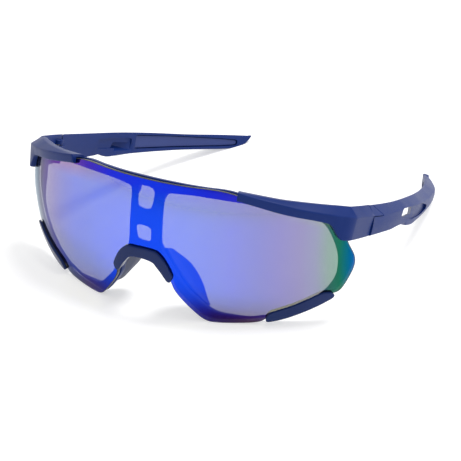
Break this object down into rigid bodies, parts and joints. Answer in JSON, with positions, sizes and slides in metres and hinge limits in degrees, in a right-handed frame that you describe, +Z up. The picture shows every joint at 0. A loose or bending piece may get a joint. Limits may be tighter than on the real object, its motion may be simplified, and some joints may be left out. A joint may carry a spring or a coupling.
{
  "type": "wraparound sport sunglasses",
  "caption": "Wraparound sport sunglasses: a curved mirrored shield lens on a navy frame with a rim behind it, soft nose pads, lower rim clips and folding temples.",
  "frame": {"origin": "centre of the glasses' footprint on the surface they stand on, temples open", "axes": "+Z up, -Y the way the wearer looks, +X to the wearer's left; the glasses stand on the two lobes of the lens and the temple tips"},
  "size_m": [0.1436, 0.1658, 0.0557],
  "materials": {
    "frame_matte_navy": "fine satin moulded nylon, navy blue",
    "clip_gloss_navy": "glossy dark navy",
    "lens_blue_mirror": "polished polycarbonate with a blue to green interference mirror coating",
    "pad_grey_rubber": "soft matte translucent grey-blue rubber",
    "grip_navy_rubber": "soft matte navy rubber",
    "screw_steel": "turned steel",
    "nut_brass": "plain brass"
  },
  "bodies": {
    "front": {"front_frame": "frame_matte_navy", "shield_lens": "lens_blue_mirror", "nose_bridge_clip": "clip_gloss_navy", "nose_pad_left": "pad_grey_rubber", "nose_pad_right": "pad_grey_rubber", "lower_rim_clip_left": "clip_gloss_navy", "lower_rim_clip_right": "clip_gloss_navy", "hinge_screw_left": "screw_steel", "hinge_screw_right": "screw_steel", "hinge_nut_left": "nut_brass", "hinge_nut_right": "nut_brass"},
    "left_temple": {"temple_left": "frame_matte_navy", "temple_grip_left": "grip_navy_rubber"},
    "right_temple": {"temple_right": "frame_matte_navy", "temple_grip_right": "grip_navy_rubber"}
  },
  "joints": [
    {"name": "left_temple_fold", "type": "hinge", "parent": "front", "child": "left_temple", "pos_m": [0.0682, -0.03126, 0.04129], "axis": [0, 0.3305, 0.9438], "range_deg": [0, 88]},
    {"name": "right_temple_fold", "type": "hinge", "parent": "front", "child": "right_temple", "pos_m": [-0.0682, -0.03126, 0.04129], "axis": [0, -0.3305, -0.9438], "range_deg": [0, 72]}
  ]
}
